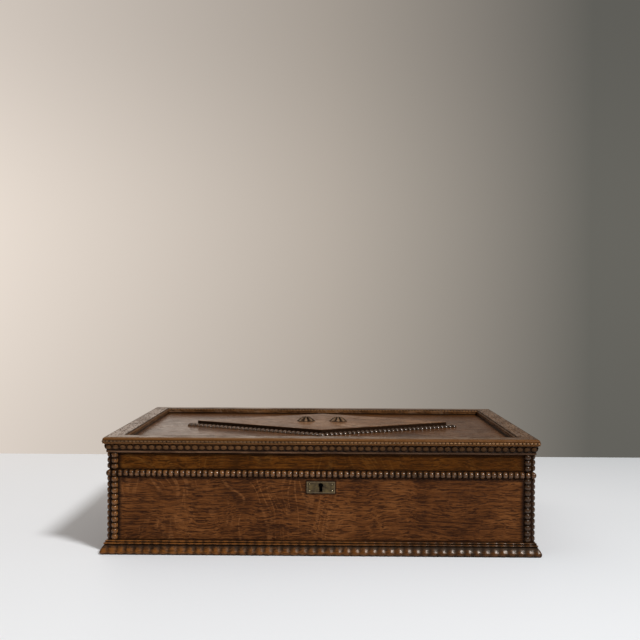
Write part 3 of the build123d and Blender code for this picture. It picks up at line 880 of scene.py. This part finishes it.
def frame_oak(name, along, shift):
    """Waxed oak like the boards', rubbed redder at the outer edge, with painted highlights along its outer
    arrises and painted shade in its quirks and steps, under it and towards the right end.
    """
    place, fill = new_material(name)
    x, y, z = place.axes()
    fibre, pores, rings, drift = oak_figure(place, along, shift)
    wood = oak_tones(fibre * 0.35 + rings * 0.40 + drift * 0.25, FRAME_TOP)
    wood = (medullary_rays(place, along, shift, 0.6) * 0.6).mix(wood, FRAME_RAY)
    wood = (pores * 0.6).mix(wood, FRAME_TOP[0])

    out = {"x": abs(y) - half_depth, "y": abs(x) - half_length}[along]
    drop = z - frame_high.z
    rubbed = (out + (fibre - 0.5) * 0.004).rise(frame_out - 3.6 * MM, frame_out - 2.0 * MM)
    colour = (rubbed * 0.9).mix(wood, FRAME_EDGE)
    # Painted highlights along the top arris and the lower arris of the outer edge, stronger towards the left.
    arrises = drop.band(-0.5 * MM, 0.4 * MM, 0.9 * MM) + drop.band(-6.4 * MM, 0.2 * MM, 0.5 * MM) * 0.5
    glow = (fibre.rise(0.35, 0.6) * 0.5 + 0.2) * (1.1 - x.rise(-0.1, 0.15) * 0.7)
    colour = (arrises * rubbed * glow).mix(colour, ARRIS_HIGHLIGHT)
    # Painted shade over the outer edge towards the right end.
    colour = (rubbed * x.rise(0.0, 0.2) * 0.14).mix(colour, SHADE_BROWN)

    # Painted shade under the frame, in the groove below the ovolo, in the quirk and steps down to the panel
    # and along the inner border of the flat.
    under = 1 - drop.rise(-6.95 * MM, -6.75 * MM)
    groove = drop.band(-3.3 * MM, 0.2 * MM, 0.5 * MM)
    quirk = 1 - drop.rise(-5.6 * MM, -4.4 * MM)
    fillet = (1 - drop.rise(-0.6 * MM, -0.3 * MM)) * drop.rise(-1.5 * MM, -1.1 * MM)
    inner = 1 - out.rise(-frame_in + 1.2 * MM, -frame_in + 1.5 * MM)
    border = 1 - out.rise(-frame_in + 2.3 * MM, -frame_in + 2.8 * MM)
    outer_dark = (1 - (1 - under) * (1 - groove * rubbed)) * 0.85 * (1 - inner)
    dark = greater(outer_dark + inner * (quirk + fillet) * 0.9, border * (1 - inner) * 0.85)
    colour = dark.mix(colour, SHADE_BROWN)

    flat = drop.rise(-0.4 * MM, -0.1 * MM) * (1 - border)
    # Painted shade along the outer arris of the side rails.
    if along == "y":
        arris = out.rise(frame_out - 3.0 * MM, frame_out - 2.4 * MM) * drop.rise(-1.4 * MM, -0.8 * MM)
        colour = (arris * 0.9).mix(colour, ARRIS_SHADE)
        flat = flat * (1 - arris)
    wax = flat * (1 - pores * 0.8) * (drift.rise(0.35, 0.6) * 0.5 + 0.5) * (1.2 - x.rise(-0.2, 0.2) * 0.5)
    return fill(fibre * 0.6 - pores * 0.9, depth=0.2 * MM, Base_Color=colour, Specular_IOR_Level=0.05,
                Roughness=fibre * 0.14 + pores * 0.2 + 0.34, Coat_Weight=wax * 0.78, Coat_Roughness=0.2)


# Painted shade darkens the edge beads towards the left end.
edge_oak = {
    axis: moulding_oak(f"edge bead oak {axis}", axis, crest=(0.20, 0.098, 0.038), gloss=0.27, shine=0.30,
                       low=0.3, top=0.9, end_shade=-0.42)
    for axis in "xy"
}
inner_oak = {
    axis: moulding_oak(f"inner bead oak {axis}", axis, crest=(0.160, 0.074, 0.028), gloss=0.42, shine=0.12,
                       low=0.1, top=0.9)
    for axis in "xy"
}
for side, along in grain.items():
    dress(f"lid_frame_{side}", frame_oak(f"frame oak {side}", along, shift=(0.1, 0.4, 0.2)), arris=0.2)
    bead_strip(f"edge_beads_{side}", side, edge_bead_out, edge_bead_height, edge_bead_radius, turn=0,
               material=edge_oak[along])
    bead_strip(f"inner_beads_{side}", side, inner_bead_out, inner_bead_height, inner_bead_radius, turn=140,
               material=inner_oak[along])


# ---- Panel and lozenge ----
# A wide flat panel glued up under the frame, and a lozenge of the same oak planted on its middle,
# framed by four rows of split bobbins mitred at the points.

panel_low, panel_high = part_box("lid_panel")
lozenge_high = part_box("lozenge")[1]
PANEL = (0.036, 0.0115, 0.0022), (0.106, 0.0360, 0.0077), (0.190, 0.072, 0.018)
PANEL_RAY = (0.21, 0.105, 0.042)
LOZENGE = (0.064, 0.025, 0.008), (0.157, 0.068, 0.026), (0.27, 0.130, 0.055)
LOZENGE_RAY = (0.34, 0.205, 0.120)
# Painted shade darkens the panel towards the right end.
panel_oak = board_oak("panel oak", "x", PANEL, PANEL_RAY, (0.15, 0.2, 0.3), slant=0.9, gloss=0.36, wax=0.80,
                      end_shade=0.35, bare=False, under=panel_low.z + 0.3 * MM)
# Painted shade on the lozenge's sides below its top.
lozenge_oak = board_oak("lozenge oak", "x", LOZENGE, LOZENGE_RAY, (0.7, 0.1, 0.2), rays=0.9, slant=1.6,
                        shine=0.05, wax=0.5, bare=False, shade_below=lozenge_high.z - 0.1 * MM)
dress("lid_panel", panel_oak)
dress("lozenge", lozenge_oak)

# Painted shade darkens the lozenge's rows towards the right end.
dark_bobbin_oak = moulding_oak("dark bobbin oak", "x", crest=(0.090, 0.043, 0.019), gloss=0.24, shine=0.25,
                               low=0.35, top=1.1, end_shade=0.62, polish=1.0)
half_angle = (Vector((0, lozenge_high.y, 0)) - Vector((lozenge_high.x, 0, 0))).angle(Vector((-1, 0, 0)))
outer_tip = lozenge_high.x + 2 * bobbin_radius / sin(half_angle)
length = outer_tip / cos(half_angle)
for end, end_sign in (("front", -1), ("back", 1)):
    for hand, sign in (("left", -1), ("right", 1)):
        along_edge = Vector((-sign * cos(half_angle), end_sign * sin(half_angle), 0))
        inward = Vector((-sign * sin(half_angle), -end_sign * cos(half_angle), 0))
        start = Vector((sign * outer_tip, 0, panel_high.z)) + inward * bobbin_radius

        def place(along, out, across):
            """Lay the row beside the lozenge's edge, and mitre it on the box's two middle lines."""
            offset = bobbin_radius + across
            first = offset / tan(half_angle)
            last = length - offset * tan(half_angle)
            along = max(first, min(last, along))
            return start + along_edge * along + inward * across + Vector((0, 0, out))

        row = strip(f"turned_lozenge_{end}_{hand}", bobbin_rings(0, length), place, "lid", dark_bobbin_oak)
        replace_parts(row, f"lozenge_bobbins_{end}_{hand}")


# ---- Rosettes ----
# Two small paterae of carved oak on the lozenge, each with eight rounded petals round a button,
# darkened by wax in the cuts, with a ring of painted shade round the foot.

petals = 8
petal_depth = 0.18
petal_steps = 14
petal_turns = 96
button_share = 0.30


def rosette(name, node, material):
    """A domed flower carved in relief, as wide and as high as its plain boss."""
    low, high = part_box(node)
    radius = (high.x - low.x) / 2
    height = high.z - low.z
    centre = Vector(((low.x + high.x) / 2, (low.y + high.y) / 2, low.z))
    points, wear_and_shade = [], []
    for ring in range(petal_steps + 1):
        share = 1 - ring / petal_steps * 0.97
        for turn in range(petal_turns):
            angle = 2 * pi * turn / petal_turns
            lobe = abs(cos(petals / 2 * angle)) ** 0.6
            if share > button_share:
                distance = radius * (1 - petal_depth + petal_depth * lobe) * share
                lift = (1 - share ** 1.7) * (0.40 + 0.50 * lobe) + 0.14 * lobe * (1 - share ** 8)
                # The outermost ring is painted shade round the foot of the flower.
                petal_wear_and_shade = lobe ** 2.5 * (0.35 + 0.65 * share) if share < 0.97 else -0.5
            else:
                distance = radius * share * 0.9
                lift = 0.66 + 0.34 * sqrt(max(0.0, 1 - (share / button_share) ** 2))
                petal_wear_and_shade = 0.2 + 0.8 * (1 - share / button_share)
            spot = Vector((distance * cos(angle), distance * sin(angle), height * min(1.0, lift)))
            points.append(centre + spot)
            wear_and_shade.append(petal_wear_and_shade)
    mesh = wear_and_shade_mesh(name, points, wear_and_shade, capped_rings(petal_turns, petal_steps + 1))
    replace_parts(finish_piece(name, mesh, "lid", material, crease=60), node)


rosette_oak = moulding_oak("rosette oak", "x", crest=(0.190, 0.112, 0.060), gloss=0.30, shine=0.25,
                           low=0.25, top=1.0)
rosette("rosette_left", "boss_left", rosette_oak)
rosette("rosette_right", "boss_right", rosette_oak)


# ---- Studio ----
# A white table against a wall that glows with painted light, pale at the left, falling away to the right
# and dimmer towards its top and foot, and clear from behind; a soft lamp high on the front right, a broad
# weak one above, and the camera in front.

table_edge = 0.60
table_half = 2.4
wall_top = 2.6
wall_dip = 0.01
glow_height = 0.40
WALL_LIGHT = [(0.06, (0.82, 0.73, 0.65)), (0.50, (0.47, 0.415, 0.36)), (0.84, (0.135, 0.131, 0.115))]


def flat_sheet(name, corners, material):
    mesh = bpy.data.meshes.new(name)
    mesh.from_pydata([Vector(corner) for corner in corners], [], [(0, 1, 2, 3)])
    mesh.materials.append(material)
    sheet = bpy.data.objects.new(name, mesh)
    bpy.context.scene.collection.objects.link(sheet)
    sheet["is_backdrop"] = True


table_place, table_fill = new_material("white table")
table_tone = table_place.noise(3, 2).mix((0.80, 0.815, 0.835), (0.815, 0.83, 0.85))
table_paint = table_fill(Base_Color=table_tone, Roughness=0.55, Specular_IOR_Level=0.25)
table_corners = [(-table_half, -table_half, 0), (table_half, -table_half, 0), (table_half, table_edge, 0),
                 (-table_half, table_edge, 0)]
flat_sheet("table", table_corners, table_paint)

wall_place, wall_fill = new_material("wall")
wall_x, _, wall_z = wall_place.axes()
wall_light = wall_place.node("ShaderNodeValToRGB", {0: wall_x * 0.7 + 0.5}, stops=WALL_LIGHT)
upper = (wall_z - glow_height).rise(0.0, 0.45) * 0.24
lower = (glow_height - wall_z).rise(0.0, 0.50) * 0.14
wall_shade = (upper + lower).mix(wall_light, (0.05, 0.05, 0.05))
wall_front = 1 - wall_place.node("ShaderNodeNewGeometry", {}, out=6)
# The wall is black and glows with painted light, brighter at the left.
wall_glow = wall_fill(Base_Color=(0.0, 0.0, 0.0, 1), Emission_Color=wall_shade, Emission_Strength=1.0,
                       Roughness=1.0, Specular_IOR_Level=0.0, Alpha=wall_front)
wall_corners = [(-table_half, table_edge, -wall_dip), (table_half, table_edge, -wall_dip),
                (table_half, table_edge, wall_top), (-table_half, table_edge, wall_top)]
flat_sheet("wall", wall_corners, wall_glow)


def lamp(name, energy, size, spot):
    """A round soft lamp, turned towards the box."""
    light = bpy.data.lights.new(name, "AREA")
    light.shape = "DISK"
    light.energy = energy
    light.size = size
    holder = bpy.data.objects.new(name, light)
    holder.location = spot
    holder.rotation_euler = Vector(spot).to_track_quat("Z", "Y").to_euler()
    bpy.context.scene.collection.objects.link(holder)


lamp("soft lamp", energy=146, size=0.7, spot=(1.67, -2.24, 2.86))
lamp("top lamp", energy=5, size=1.6, spot=(-0.6, -0.3, 2.0))

world = bpy.data.worlds.new("room")
world.use_nodes = True
world.node_tree.nodes["Background"].inputs["Color"].default_value = (1.0, 1.0, 1.0, 1)
world.node_tree.nodes["Background"].inputs["Strength"].default_value = 0.17
bpy.context.scene.world = world

camera = bpy.data.cameras.new("camera")
camera.lens = 58.5
camera.clip_start = 0.05
viewer = bpy.data.objects.new("camera", camera)
viewer.location = (0.0071, -half_depth - plinth_out - 1.1208, 0.2663)
viewer.rotation_euler = (radians(90 - 0.55), radians(-0.32), radians(0.46))
bpy.context.scene.collection.objects.link(viewer)
bpy.context.scene.camera = viewer
bpy.context.scene.view_settings.view_transform = "Standard"

low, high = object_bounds()
